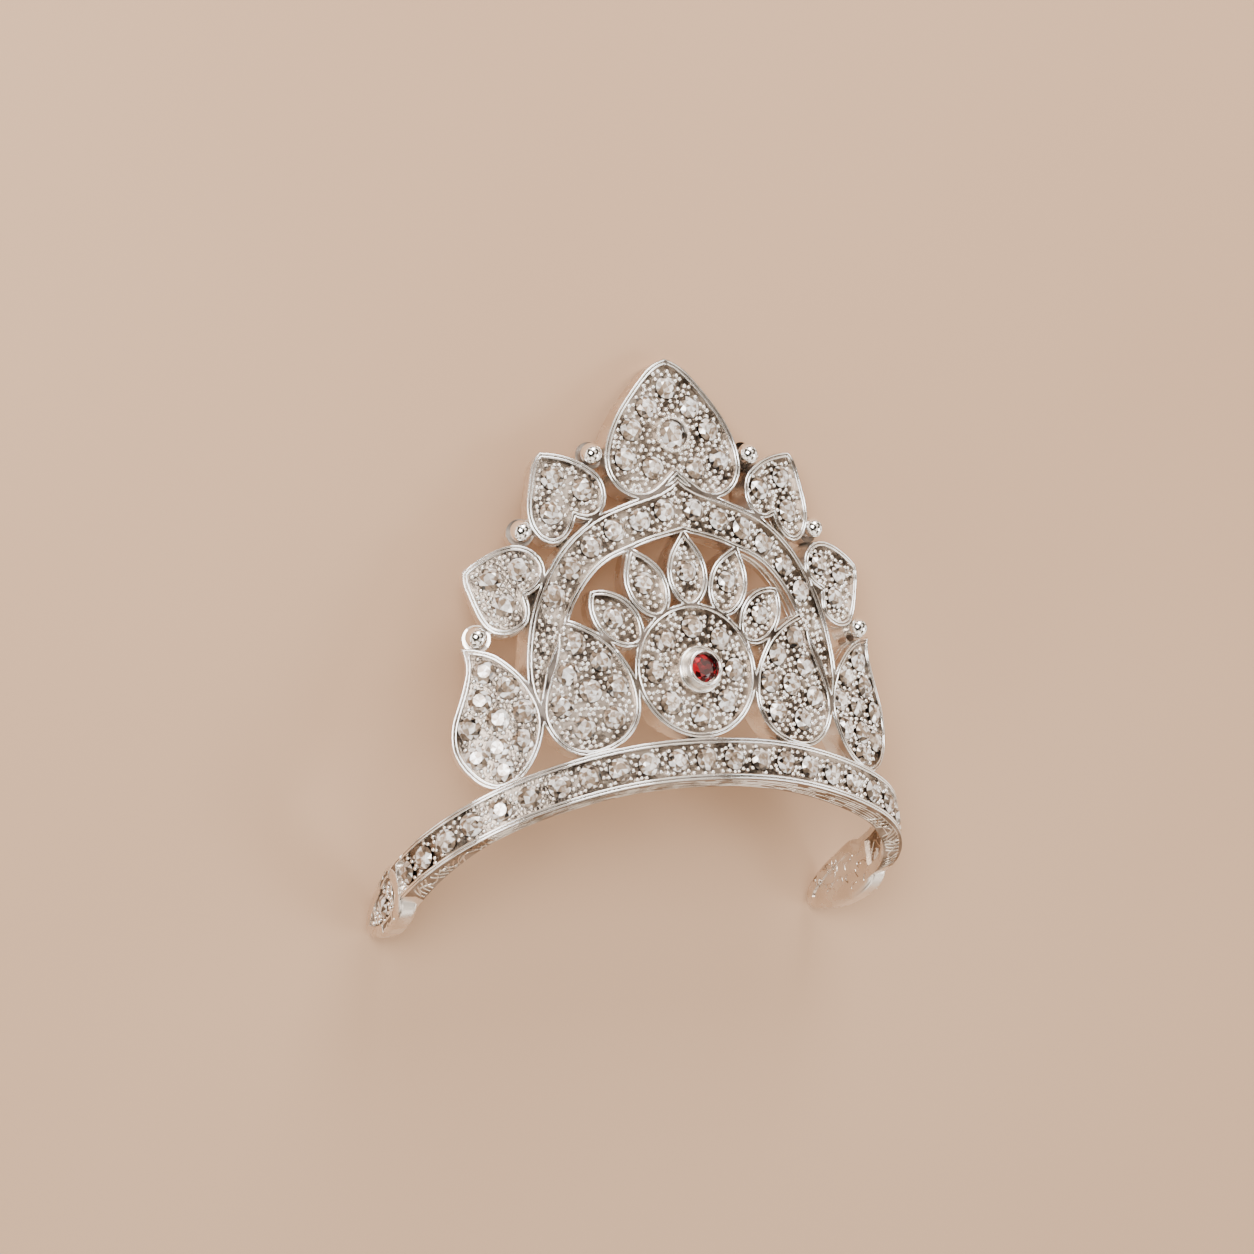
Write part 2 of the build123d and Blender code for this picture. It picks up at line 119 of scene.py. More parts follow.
class Finish:  # a procedural material on one Principled shader
    def __init__(self, name, **constants):
        self.material = bpy.data.materials.new(name)
        self.material.use_nodes = True
        self.tree = self.material.node_tree
        self.shader = self.tree.nodes["Principled BSDF"]
        for socket, value in constants.items():
            self.shader.inputs[socket.replace("_", " ")].default_value = value

    def node(self, kind, settings=None, *values, output=0, **links):
        made = self.tree.nodes.new(kind)
        for setting, value in (settings or {}).items():
            setattr(made, setting, value)
        inputs = [*enumerate(values), *((key.replace("_", " "), value) for key, value in links.items())]
        for key, value in inputs:
            if isinstance(value, Wire):
                self.tree.links.new(value.socket, made.inputs[key])
            elif value is not None:
                made.inputs[key].default_value = value
        return Wire(self, made.outputs[output])

    def ramp(self, factor, *stops):
        made = self.node("ShaderNodeValToRGB", None, factor)
        fillRamp(made.socket.node.color_ramp, stops)
        return made

    def mix(self, factor, first, second):
        made = self.node("ShaderNodeMix", {"data_type": "RGBA"}, factor)
        node = made.socket.node
        for key, value in ((mixFirst, first), (mixSecond, second)):
            if isinstance(value, Wire):
                self.tree.links.new(value.socket, node.inputs[key])
            else:
                node.inputs[key].default_value = (*value, 1)
        return Wire(self, node.outputs[mixResult])

    def place(self):
        return self.node("ShaderNodeTexCoord", output="Object")

    def noise(self, place, scale, detail=2.0):
        return self.node("ShaderNodeTexNoise", Vector=place, Scale=scale, Detail=detail)

    def bump(self, height, strength, distance):
        return self.node("ShaderNodeBump", Height=height, Strength=strength, Distance=distance)

    def feed(self, **sockets):
        for socket, value in sockets.items():
            self.tree.links.new(value.socket, self.shader.inputs[socket.replace("_", " ")])


# ---- camera, at the photograph's angle to the crown ----
photoView = {
    "turn": -27.854, "rise": -8.705, "roll": -6.066,  # of the upright crown
    "away": 369.946, "slide": (7.019, -4.251),
    "lens": 107.37, "sensor": 36, "nearest": 0.01, "furthest": 10,
}


def makeCamera(how):
    turn, rise, roll = (radians(how[key]) for key in ("turn", "rise", "roll"))
    back = Vector((sin(turn) * cos(rise), -cos(turn) * cos(rise), sin(rise)))
    level = Vector((cos(turn), sin(turn), 0))
    over = back.cross(level)
    right = level * cos(roll) + over * sin(roll)
    top = over * cos(roll) - level * sin(roll)
    eye = back * how["away"] - right * how["slide"][0] - top * how["slide"][1]
    bpy.ops.object.camera_add()
    camera = bpy.context.object
    camera.data.lens = how["lens"]
    camera.data.sensor_width = how["sensor"]
    camera.data.clip_start, camera.data.clip_end = how["nearest"], how["furthest"]
    axes = Matrix((right, top, back)).transposed()
    tipped = Matrix.Rotation(radians(crown["tipped"]), 3, "X") @ axes
    camera.matrix_world = Matrix.Translation(lying @ eye) @ tipped.to_4x4()
    bpy.context.scene.camera = camera
    return (tipped @ Vector((0, 0, 1))).normalized()


towardsCamera = makeCamera(photoView)
print("camera placed, it looks along", [round(-v, 3) for v in towardsCamera])

# ---- floor, light and surroundings ----
studio = {
    "floorDark": (0.50, 0.31, 0.19), "floorLight": (0.54, 0.345, 0.215), "floorSize": 6.0, "mottleScale": 6.0,
    "lamps": (  # name, place, size and power
        ("keyLight", (-0.28, 0.22, 0.42), 0.22, 3.4),
        ("fillLight", (0.34, -0.05, 0.36), 0.18, 0.8),
        ("rimLight", (0.02, 0.42, 0.20), 0.18, 1.9),
    ),
    "skyStrength": 1.45, "patchScale": 2.3,
    "patchStops": ((0.43, (0.03, 0.025, 0.02)), (0.50, (0.42, 0.33, 0.26)), (0.57, (1.85, 1.7, 1.52))),
    "frontStops": ((0.74, (1, 1, 1)), (0.86, (0.05, 0.045, 0.04))),  # a dark patch before the front, by cosine
}


def makeStudio(how):
    bpy.ops.mesh.primitive_plane_add(size=how["floorSize"])
    ground = bpy.context.object
    ground.name = ground.data.name = "floor"
    paint = Finish("floorPaint", Roughness=0.8)
    mottle = paint.noise(paint.place(), how["mottleScale"], 3.0).ramp((0.35, 0.0), (0.65, 1.0))
    paint.feed(Base_Color=paint.mix(mottle, how["floorDark"], how["floorLight"]))
    ground.data.materials.append(paint.material)
    for name, place, size, power in how["lamps"]:
        bpy.ops.object.light_add(type="AREA", location=place)
        lamp = bpy.context.object
        lamp.name = name
        lamp.data.size, lamp.data.energy = size, power
        lamp.rotation_mode = "QUATERNION"
        lamp.rotation_quaternion = Vector(place).to_track_quat("Z", "Y")
    world = bpy.data.worlds.new("studioAir")
    bpy.context.scene.world = world
    world.use_nodes = True
    nodes, links = world.node_tree.nodes, world.node_tree.links
    sky = nodes["Background"]
    sky.inputs["Strength"].default_value = how["skyStrength"]
    where = nodes.new("ShaderNodeTexCoord").outputs["Generated"]
    patches = nodes.new("ShaderNodeTexNoise")
    patches.inputs["Scale"].default_value = how["patchScale"]
    patches.inputs["Detail"].default_value = 1.0
    facing = nodes.new("ShaderNodeVectorMath")
    facing.operation = "DOT_PRODUCT"
    facing.inputs[1].default_value = towardsCamera
    product = nodes.new("ShaderNodeMix")
    product.data_type, product.blend_type = "RGBA", "MULTIPLY"
    product.inputs[0].default_value = 1.0
    links.new(where, patches.inputs["Vector"])
    links.new(where, facing.inputs[0])
    for source, stops, socket in (
        (patches.outputs["Fac"], how["patchStops"], mixFirst),
        (facing.outputs["Value"], how["frontStops"], mixSecond),
    ):
        shade = nodes.new("ShaderNodeValToRGB")
        fillRamp(shade.color_ramp, stops)
        links.new(source, shade.inputs[0])
        links.new(shade.outputs["Color"], product.inputs[socket])
    links.new(product.outputs[mixResult], sky.inputs["Color"])


makeStudio(studio)
print("studio set")

# ---- places on the wall: distance along the front, height, distance out of the wall ----
turnMiddle = (
    (crown["frontRadius"] - crown["turnRadius"]) * sin(radians(crown["frontAngle"])),
    crown["frontRadius"] - (crown["frontRadius"] - crown["turnRadius"]) * cos(radians(crown["frontAngle"])),
)
armMiddle = turnMiddle[0] + crown["turnRadius"] - crown["armRadius"]
frontLength = crown["frontRadius"] * radians(crown["frontAngle"])
turnLength = crown["turnRadius"] * radians(90 - crown["frontAngle"])


def wallPlace(point):
    side, across = (1, point.x) if point.x >= 0 else (-1, -point.x)
    turned = atan2(across, crown["frontRadius"] - point.y)
    if turned <= radians(crown["frontAngle"]):
        along = crown["frontRadius"] * turned
        out = hypot(across, crown["frontRadius"] - point.y) - crown["frontRadius"]
    else:
        turned = atan2(across - turnMiddle[0], turnMiddle[1] - point.y)
        if turned <= pi / 2:
            along = frontLength + crown["turnRadius"] * (turned - radians(crown["frontAngle"]))
            out = hypot(across - turnMiddle[0], point.y - turnMiddle[1]) - crown["turnRadius"]
        else:
            turned = atan2(point.y - turnMiddle[1], across - armMiddle)
            along = frontLength + turnLength + crown["armRadius"] * turned
            out = hypot(across - armMiddle, point.y - turnMiddle[1]) - crown["armRadius"]
    return side * along, point.z, out


def wallFrame(along, height, out=0.0):  # a point there, and the ways along the wall, up and outward
    way = abs(along)
    if way <= frontLength:
        turned = way / crown["frontRadius"]
        middle, radius = (0, crown["frontRadius"]), crown["frontRadius"]
    elif way <= frontLength + turnLength:
        turned = radians(crown["frontAngle"]) + (way - frontLength) / crown["turnRadius"]
        middle, radius = turnMiddle, crown["turnRadius"]
    else:
        turned = pi / 2 + (way - frontLength - turnLength) / crown["armRadius"]
        middle, radius = (armMiddle, turnMiddle[1]), crown["armRadius"]
    side = 1 if along >= 0 else -1
    reach = radius + out
    point = Vector((side * (middle[0] + reach * sin(turned)), middle[1] - reach * cos(turned), height))
    level = Vector((cos(turned), side * sin(turned), 0))
    return point, level, Vector((0, 0, 1)), Vector((side * sin(turned), -cos(turned), 0))


def outwardAt(point):
    return wallFrame(*wallPlace(point)[:2])[3]


def uprightMesh(piece):  # a node's corners in the upright frame, doubles merged, and its triangles
    mesh = bmesh.new()
    mesh.from_mesh(piece.data)
    bmesh.ops.remove_doubles(mesh, verts=mesh.verts, dist=weldWithin)
    mesh.verts.index_update()
    corners = [upright @ v.co for v in mesh.verts]
    faces = [[v.index for v in face.verts] for face in mesh.faces]
    mesh.free()
    return corners, faces


metalCorners, metalFaces = uprightMesh(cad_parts["crown_frame"])
metalTree = BVHTree.FromPolygons(metalCorners, metalFaces)
squareOn, roughlyOn, levelSlack = 0.9, 0.85, 0.04  # least cosines to the way outward, and mm off a level
print("metal read,", len(metalFaces), "triangles")


# ---- rim wires: two round wires along both edges of every flat rim ----
rimWire = {
    "radius": 0.12, "inset": 0.12, "sink": 0.0, "spacing": 0.42, "cornerTurn": 0.75, "fewest": 4,
    "levels": ((0, 0.03), (crown["bandProud"], 0.05)),  # the rims' distances out of the wall, and the slack
    "besideRim": 0.12, "probeFrom": 0.5, "probeReach": 1.3,  # metal met there means a recess, not an outer wall
    "sideDepths": (0.75, 1.35), "sideRadius": 0.085, "sideInset": 0.03,  # the finer wires down the outer walls
}


def rimEdges(level, slack):  # edges of the flat rims at a distance out of the wall, each with its way inward
    found = {}
    for face in metalFaces:
        corners = [metalCorners[n] for n in face]
        if any(abs(wallPlace(corner)[2] - level) > slack for corner in corners):
            continue
        middle = sum(corners, Vector()) / len(corners)
        outward = outwardAt(middle)
        if (corners[1] - corners[0]).cross(corners[2] - corners[0]).normalized().dot(outward) < squareOn:
            continue
        for start, end in zip(face, face[1:] + face[:1]):
            key = (min(start, end), max(start, end))
            found.setdefault(key, []).append((middle, outward))
    return {key: sides[0] for key, sides in found.items() if len(sides) == 1}


def chained(edges):  # loops of corners, from loose edges
    beside = {}
    for start, end in edges:
        beside.setdefault(start, []).append(end)
        beside.setdefault(end, []).append(start)
    left, loops = set(edges), []
    while left:
        start, following = left.pop()
        loop = [start, following]
        while True:
            step = next((n for n in beside[loop[-1]] if (min(n, loop[-1]), max(n, loop[-1])) in left), None)
            if step is None:
                break
            left.discard((min(step, loop[-1]), max(step, loop[-1])))
            loop.append(step)
        loops.append(loop)
    return loops


def insetLoop(loop, edges, inset, sink):  # the loop moved inward and down, and the ways at its start
    closed = loop[0] == loop[-1]
    count = len(loop) - 1
    ways = []
    for start, end in zip(loop, loop[1:]):
        middle, outward = edges[(min(start, end), max(start, end))]
        along = (metalCorners[end] - metalCorners[start]).normalized()
        inward = outward.cross(along)
        if inward.dot(middle - metalCorners[start]) < 0:
            inward.negate()
        ways.append((inward, outward))
    points = []
    for n in range(count + (0 if closed else 1)):
        before = ways[(n - 1) % count if closed else max(n - 1, 0)]
        after = ways[n % count if closed else min(n, count - 1)]
        both = before[0] + after[0]
        both = both / max(both.length_squared / 2, 0.5)  # held back at sharp corners
        points.append(metalCorners[loop[n]] + both * inset - after[1] * sink)
    return points, closed, ways[0]


def evened(points, closed, how):  # the same line with even steps, its corners kept
    kept = []
    for n, point in enumerate(points):
        before, after = points[n - 1], points[(n + 1) % len(points)]
        corner = (point - before).angle(after - point, 0) > how["cornerTurn"]
        if not kept or corner or (point - kept[-1]).length >= how["spacing"]:
            kept.append(point)
    return kept


def makeWires(name, lines, radius):  # round wires along lines, each a list of points and whether it closes
    points, edges = [], []
    for line, closed in lines:
        first = len(points)
        points += [lying @ point for point in line]
        edges += [(first + n, first + n + 1) for n in range(len(line) - 1)]
        if closed:
            edges.append((len(points) - 1, first))
    wires = fromLists(name, points, [], edges)
    pick(wires)
    bpy.ops.object.convert(target="CURVE")
    wires.data.bevel_depth = radius * mm
    wires.data.bevel_resolution = 1
    wires.data.use_fill_caps = True
    bpy.ops.object.convert(target="MESH")
    bpy.ops.object.shade_smooth()
    print(name, "made,", len(wires.data.polygons), "faces")
    return wires


def rimLines(how):  # lines along the rims, and lower down along the walls that face outward
    rims, sides = [], []
    for level, slack in how["levels"]:
        found = rimEdges(level, slack)
        for loop in chained(found):
            line, closed, (inward, outward) = insetLoop(loop, found, how["inset"], how["sink"])
            line = evened(line, closed, how)
            if len(line) < how["fewest"]:
                continue
            rims.append((line, closed))
            start = (metalCorners[loop[0]] + metalCorners[loop[1]]) / 2
            start = start - inward * how["besideRim"] + outward * how["probeFrom"]
            if level or metalTree.ray_cast(start, -outward, how["probeReach"])[0] is not None:
                continue
            for depth in how["sideDepths"]:
                line = insetLoop(loop, found, how["sideInset"], depth)[0]
                sides.append((evened(line, closed, how), closed))
    return rims, sides


# ---- stones: a round brilliant cut in place of each solid ----
brilliant = {
    "table": 0.56, "starReach": 0.72, "crown": 0.155, "girdle": 0.025, "pavilion": 0.41,  # shares of the width
    "back": 0.86, "levelGuide": (0.3, 0.2, 1),
    "facetsAnEighth": 9, "crownFacets": 5,  # one of the table, four round it, then the girdle's and the back's
    "tableGlints": (0.95, 0.75, 0.62, 0.5, 0.38), "facetGlints": (1.0, 0.9, 0.6, 0.35, 0.15, 0.05),
    "sideGlints": (0.05, 0.35),
    "redTableGlints": (0.34, 0.28, 0.24, 0.2), "redFacetGlints": (1.0, 0.7, 0.4, 0.12, 0.0),
}


def stonePlaces(node):  # middle of the girdle, outward way and width of every stone in a node, upright
    corners, faces = uprightMesh(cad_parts[node])
    group = list(range(len(corners)))

    def root(n):
        while group[n] != n:
            group[n] = group[group[n]]
            n = group[n]
        return n

    for face in faces:
        for n in face[1:]:
            group[root(n)] = root(face[0])
    islands = {}
    for n, corner in enumerate(corners):
        islands.setdefault(root(n), []).append(corner)
    places = []
    for island in islands.values():
        middle = sum(island, Vector()) / len(island)
        out = Vector(numpy.linalg.svd(numpy.array([corner - middle for corner in island]))[2][2])
        if out.dot(outwardAt(middle)) < 0:
            out.negate()
        heights = [(corner - middle).dot(out) for corner in island]
        width = 2 * max((corner - middle - out * height).length for corner, height in zip(island, heights))
        top = (brilliant["girdle"] + brilliant["crown"]) * width
        places.append((middle + out * (max(heights) - top), out, width))
    return places


def brilliantShape(how, back):  # corners and facets of a stone one wide, its girdle's foot at height 0
    def ring(radius, height, count, turn=0.0):
        return [(radius * cos(2 * pi * (n + turn) / count), radius * sin(2 * pi * (n + turn) / count), height)
                for n in range(count)]

    top, share = how["girdle"] + how["crown"], how["starReach"] * cos(pi / 8)
    starHeight = how["girdle"] + how["crown"] * (1 - share) / (1 - how["table"])
    corners = [
        (0, 0, top), *ring(how["table"] / 2, top, 8), *ring(how["starReach"] / 2, starHeight, 8, 0.5),
        *ring(0.5, how["girdle"], 16), *ring(0.5, 0, 16),
        *ring(back / 2, -(1 - back) * how["pavilion"], 16),
    ]
    table, star, upper, lower, under = 1, 9, 17, 33, 49
    facets = []
    for n in range(8):
        after, before = (n + 1) % 8, (n - 1) % 8
        girdle = [(2 * n + step) % 16 for step in (0, 1, 2)]
        facets += [
            (0, table + n, table + after),
            (table + n, star + n, table + after),
            (table + n, star + before, upper + girdle[0], star + n),
            (star + n, upper + girdle[0], upper + girdle[1]),
            (star + n, upper + girdle[1], upper + girdle[2]),
        ]
        for start, end in (girdle[:2], girdle[1:]):
            facets += [(upper + start, lower + start, lower + end, upper + end),
                       (lower + start, under + start, under + end, lower + end)]
    if back:
        facets.append(tuple(under + n for n in reversed(range(16))))
    return corners, facets


def makeStones(name, node, how, seed):
    random = Random(seed)
    red = node == "red_stone"
    shape, facets = brilliantShape(how, 0 if red else how["back"])
    tableGlints = how["redTableGlints" if red else "tableGlints"]
    facetGlints = how["redFacetGlints" if red else "facetGlints"]
    points, faces, shades = [], [], []
    for middle, out, width in stonePlaces(node):
        level = out.cross(Vector(how["levelGuide"])).normalized()
        turn = random.uniform(0, pi / 4)
        level = level * cos(turn) + out.cross(level) * sin(turn)
        over = out.cross(level)
        first = len(points)
        points += [lying @ (middle + (level * x + over * y + out * z) * width) for x, y, z in shape]
        for n, facet in enumerate(facets):
            faces.append([first + corner for corner in facet])
            kind = n % how["facetsAnEighth"]
            if kind == 0:
                shades.append(random.choice(tableGlints))
            elif kind < how["crownFacets"]:
                shades.append(random.choice(facetGlints))
            else:
                shades.append(random.uniform(*how["sideGlints"]))
    piece = fromLists(name, points, faces)
    # painted glints: each facet gets a shade from dark to bright that stands in for reflections in the stone
    glints = piece.data.attributes.new("glint", "FLOAT", "FACE")
    glints.data.foreach_set("value", shades)
    return piece


# ---- feet: their pads lean away from the wall ----
foot = {"middle": (26.35, 20.0), "lean": 7.0, "floor": 0.65, "top": -15, "front": 14}


def footFrame(side):  # as wallFrame, but along a foot pad and out of its middle
    lean = radians(foot["lean"])

    def placed(along, height):
        way = Vector((-side * sin(lean), cos(lean), 0))
        out = Vector((side * cos(lean), sin(lean), 0))
        start = Vector((side * foot["middle"][0], foot["middle"][1], height))
        return start + way * along, way, Vector((0, 0, 1)), out

    return placed


def nearFoot(point):
    return point.z < foot["top"] and point.y > foot["front"]


def footLevel(point):  # distance out of the middle of the nearer foot pad
    start, _, _, out = footFrame(1 if point.x >= 0 else -1)(0, 0)
    return (point - start).dot(out)


# ---- granules: small domes packed over the recess floors ----
granule = {
    "sunk": 0.3, "ringRadius": 0.25, "ringReach": 0.24, "ringCount": 10,
    "fillRadius": (0.22, 0.31), "cell": 0.6,
    "closeness": 0.88, "ringCloseness": 0.8, "stoneCloseness": 0.55,  # shares of the radii that stay apart
    "pitch": 0.47, "jitter": 0.1, "tries": 14000, "wallSeed": 11, "footSeed": 12,
    "wallLow": (-35.4, -21), "wallHigh": (35.4, 32), "footLow": (-6.5, -23), "footHigh": (6.5, -15),
    "probeShare": 0.8, "probeFrom": 3, "floorSlack": 0.09,
}
granuleLevels = (-crown["trayDepth"], crown["bandProud"] - crown["trayDepth"])


def granuleShape():
    pickNothing()
    bpy.ops.mesh.primitive_ico_sphere_add(subdivisions=2, radius=1)
    dome = bpy.context.object
    bpy.ops.object.mode_set(mode="EDIT")
    bpy.ops.mesh.select_all(action="SELECT")
    bpy.ops.mesh.bisect(plane_co=(0, 0, -granule["sunk"]), plane_no=(0, 0, 1), clear_inner=True)
    bpy.ops.object.mode_set(mode="OBJECT")
    corners = [v.co.copy() for v in dome.data.vertices]
    faces = [list(face.vertices) for face in dome.data.polygons]
    bpy.data.objects.remove(dome)
    return corners, faces


def honeycomb(how, random, low, high):  # candidate places in loose rows between two corners
    step, rise = how["pitch"], how["pitch"] * sqrt(3) / 2
    for row in range(floor(low[1] / rise), floor(high[1] / rise)):
        for column in range(floor(low[0] / step), floor(high[0] / step)):
            along = (column + 0.5 * (row % 2)) * step + random.uniform(-1, 1) * how["jitter"]
            yield along, row * rise + random.uniform(-1, 1) * how["jitter"]


def wallSpots(how):
    random, low, high = Random(how["wallSeed"]), how["wallLow"], how["wallHigh"]
    yield from honeycomb(how, random, low, high)
    for _ in range(how["tries"]):
        yield random.uniform(low[0], high[0]), random.uniform(low[1], high[1])


def footSpots(how):
    return honeycomb(how, Random(how["footSeed"]), how["footLow"], how["footHigh"])


def floorUnder(place, along, height, radius, levels):  # the recess floor's level, if it is wide enough
    point, level, over, out = place(along, height)
    reach, found = granule["probeFrom"], None
    for n in range(-1, 6):  # the middle, then six spots round it
        way = (level * cos(n * pi / 3) + over * sin(n * pi / 3)) * radius * granule["probeShare"]
        spot = point if n < 0 else point + way
        hit, normal, _, distance = metalTree.ray_cast(spot + out * reach, -out, 2 * reach)
        if hit is None or normal.dot(out) < squareOn:
            return None
        near = [value for value in levels if abs(reach - distance - value) < granule["floorSlack"]]
        if not near or (found is not None and near[0] != found):
            return None
        found = near[0]
    return found


def packGranules(name, place, spots, stones, levels, how, seed, claws=()):
    random = Random(seed)
    shape, facets = granuleShape()
    near, cell, laid = {}, how["cell"], []

    def crowded(along, height, radius):
        key = (floor(along / cell), floor(height / cell))
        return any(
            hypot(along - a, height - h) < (radius + r) * how["closeness"]
            for x in (-1, 0, 1) for y in (-1, 0, 1) for a, h, r in near.get((key[0] + x, key[1] + y), ())
        )

    def lay(along, height, radius):
        level = floorUnder(place, along, height, radius, levels)
        if level is None:
            return
        near.setdefault((floor(along / cell), floor(height / cell)), []).append((along, height, radius))
        laid.append((along, height, radius, level))

    for along, height, width in stones:  # the grains that hold each stone
        reach, turn = width / 2 + how["ringReach"], random.uniform(0, pi)
        for n in range(how["ringCount"]):
            a = along + reach * cos(turn + n * 2 * pi / how["ringCount"])
            h = height + reach * sin(turn + n * 2 * pi / how["ringCount"])
            if not crowded(a, h, how["ringRadius"] * how["ringCloseness"]):
                lay(a, h, how["ringRadius"])
    for along, height in spots:
        radius = random.uniform(*how["fillRadius"])
        apart = radius * how["stoneCloseness"]
        if any(hypot(along - a, height - h) < width / 2 + apart for a, h, width in stones):
            continue
        if not crowded(along, height, radius):
            lay(along, height, radius)
    laid += claws
    points, faces = [], []
    for along, height, radius, level in laid:
        point, way, over, out = place(along, height)
        turn = random.uniform(0, 2 * pi)
        way, over = way * cos(turn) + over * sin(turn), over * cos(turn) - way * sin(turn)
        middle, first = point + out * (level + how["sunk"] * radius), len(points)
        points += [lying @ (middle + (way * x + over * y + out * z) * radius) for x, y, z in shape]
        faces += [[first + n for n in facet] for facet in facets]
    piece = fromLists(name, points, faces)
    pick(piece)
    bpy.ops.object.shade_smooth()
    print(name, "made,", len(laid), "granules,", len(faces), "faces")
    return piece


# ---- rings: the rounded rim of the red stone's tube, its collar, and the claws round the big stone ----
rings = {
    "tubeRadius": 1.675, "tubeWire": 0.2, "tubeOut": 1.6,
    "collarRadius": 2.22, "collarWire": 0.17, "collarOut": 0.5,
    "collarClear": 4.9,  # no granules within that width
    "around": 64, "through": 12,
    "claws": 14, "clawRadius": 0.25, "clawReach": 1.72, "clawOut": 0.2, "bigStone": (0, 23.9),
}


def makeRing(name, radius, thickness, out):
    pickNothing()
    bpy.ops.mesh.primitive_torus_add(
        major_radius=radius, minor_radius=thickness,
        major_segments=rings["around"], minor_segments=rings["through"])
    ring = bpy.context.object
    ring.name = ring.data.name = name
    ring.data.transform(lying @ Matrix.Translation((0, -out, 0)) @ Matrix.Rotation(pi / 2, 4, "X"))
    bpy.ops.object.shade_smooth()
    return ring


def clawSpots(how):
    along, height = how["bigStone"]
    spots = []
    for n in range(how["claws"]):
        turn = 2 * pi * n / how["claws"]
        spots.append((along + how["clawReach"] * cos(turn), height + how["clawReach"] * sin(turn),
                      how["clawRadius"], how["clawOut"]))
    return spots


# ---- beads: the balls between the leaves ----
bead = {
    "radius": 1.1, "out": -0.1, "segments": 40, "ringCount": 24,
    "places": ((8.95, 22.1), (16.85, 14.75), (22.3, 4.6)),
}


def makeBeads(how):  # one ball, copied to its six places and joined
    pickNothing()
    bpy.ops.mesh.primitive_uv_sphere_add(
        segments=how["segments"], ring_count=how["ringCount"], radius=how["radius"])
    first = bpy.context.object
    bpy.ops.object.shade_smooth()
    balls = []
    for along, height in how["places"]:
        for side in (1, -1):
            ball = first.copy()
            ball.data = first.data.copy()
            ball.data.transform(lying @ Matrix.Translation(wallFrame(side * along, height, how["out"])[0]))
            bpy.context.scene.collection.objects.link(ball)
            balls.append(ball)
    bpy.data.objects.remove(first)
    pick(balls[0])
    for ball in balls:
        ball.select_set(True)
    bpy.ops.object.join()
    joined = bpy.context.object
    joined.name = joined.data.name = "beads"
    return joined


# ---- the band's underside, and the carving inside the arms and feet ----
carving = {
    "bandHeights": ((0, -8.90), (5, -9.02), (10, -9.55), (15, -10.5), (20, -11.85), (24, -13.3), (28, -15.0),
                    (32, -16.65), (35.5, -17.75)),  # the band's middle along the wall
    "belowBand": 4.5, "upReach": 3.5, "insideOut": -3.5, "outReach": 2.5,  # where rays to the metal start
    "step": 0.55, "longestStep": 1.2, "fewest": 3,
    "grooveWire": 0.065, "grooveOuts": (-0.15, -0.45, -0.75, -1.05, -1.35, -1.6), "grooveReach": 23.0,
    "grooveSeed": 31, "grooveLength": (5, 13), "grooveGap": (0.3, 0.9), "drift": 0.09, "driftTurn": 0.5,
    "innerHeights": (-1.75, -1.45, 1.5, 1.8), "underReach": 33.5,
    "leafWire": 0.11, "from": 23.4, "to": 34.8, "wave": 3.1, "swing": 0.62, "leafStep": 0.16,
    "leafPoints": 13, "leafTurn": 0.42, "leafReach": 0.58, "leafCurl": 0.034,
    "leafRise": 0.42, "leafSquash": 0.75,
    "veins": 5, "veinSpan": 1.3, "veinPoints": 5, "veinLean": 0.06, "veinFrom": 0.5, "veinRise": 0.16,
    "underStem": (-0.9, 0.42), "hatchPitch": 0.62, "hatchGroup": 4, "hatchSlant": 0.75,
    "hatchSteps": 8, "hatchBow": 0.2, "hatchFrom": -0.15, "hatchRun": 1.45,
    "footStrokes": 34, "footMiddle": (0.0, -19.4), "footReach": (4.2, 1.5), "footSeed": 41,
    "strokePoints": 7, "strokeStep": 0.17, "strokeCurl": 0.5, "strokeFrom": 2.5, "strokeReach": 2.0,
    "underside": (-2.9, -1.9), "floorOut": -1.5, "floorSlack": 0.05, "floorHalf": 1.6,
}


def bandHeight(along):
    return float(numpy.interp(abs(along), *zip(*carving["bandHeights"])))


def onUnderside(along, out):  # the metal met from below the band
    start = wallFrame(along, bandHeight(along) - carving["belowBand"], out)[0]
    return metalTree.ray_cast(start, Vector((0, 0, 1)), carving["upReach"])[0]


def onInside(along, height):  # the metal met from inside the crown
    start, _, _, outward = wallFrame(along, bandHeight(along) + height, carving["insideOut"])
    return metalTree.ray_cast(start, outward, carving["outReach"])[0]


def unbroken(spots):  # runs of points that did meet the metal
    line = []
    for spot in [*spots, None]:
        if spot is None or (line and (spot - line[-1]).length > carving["longestStep"]):
            if len(line) > carving["fewest"]:
                yield line, False
            line = []
        if spot is not None:
            line.append(spot)


def grooveLines(how):
    random, lines = Random(how["grooveSeed"]), []
    for out in how["grooveOuts"]:
        along = -how["grooveReach"]
        while along < how["grooveReach"]:
            length, drift = random.uniform(*how["grooveLength"]), random.uniform(-how["drift"], how["drift"])
            lines += unbroken(
                onUnderside(along + n * how["step"], out + drift * sin(n * how["driftTurn"]))
                for n in range(floor(length / how["step"])))
            along += length + random.uniform(*how["grooveGap"])
    for height in how["innerHeights"]:
        for side in (1, -1):
            steps = floor(how["underReach"] / how["step"])
            lines += unbroken(onInside(side * n * how["step"], height) for n in range(1, steps))
    return lines


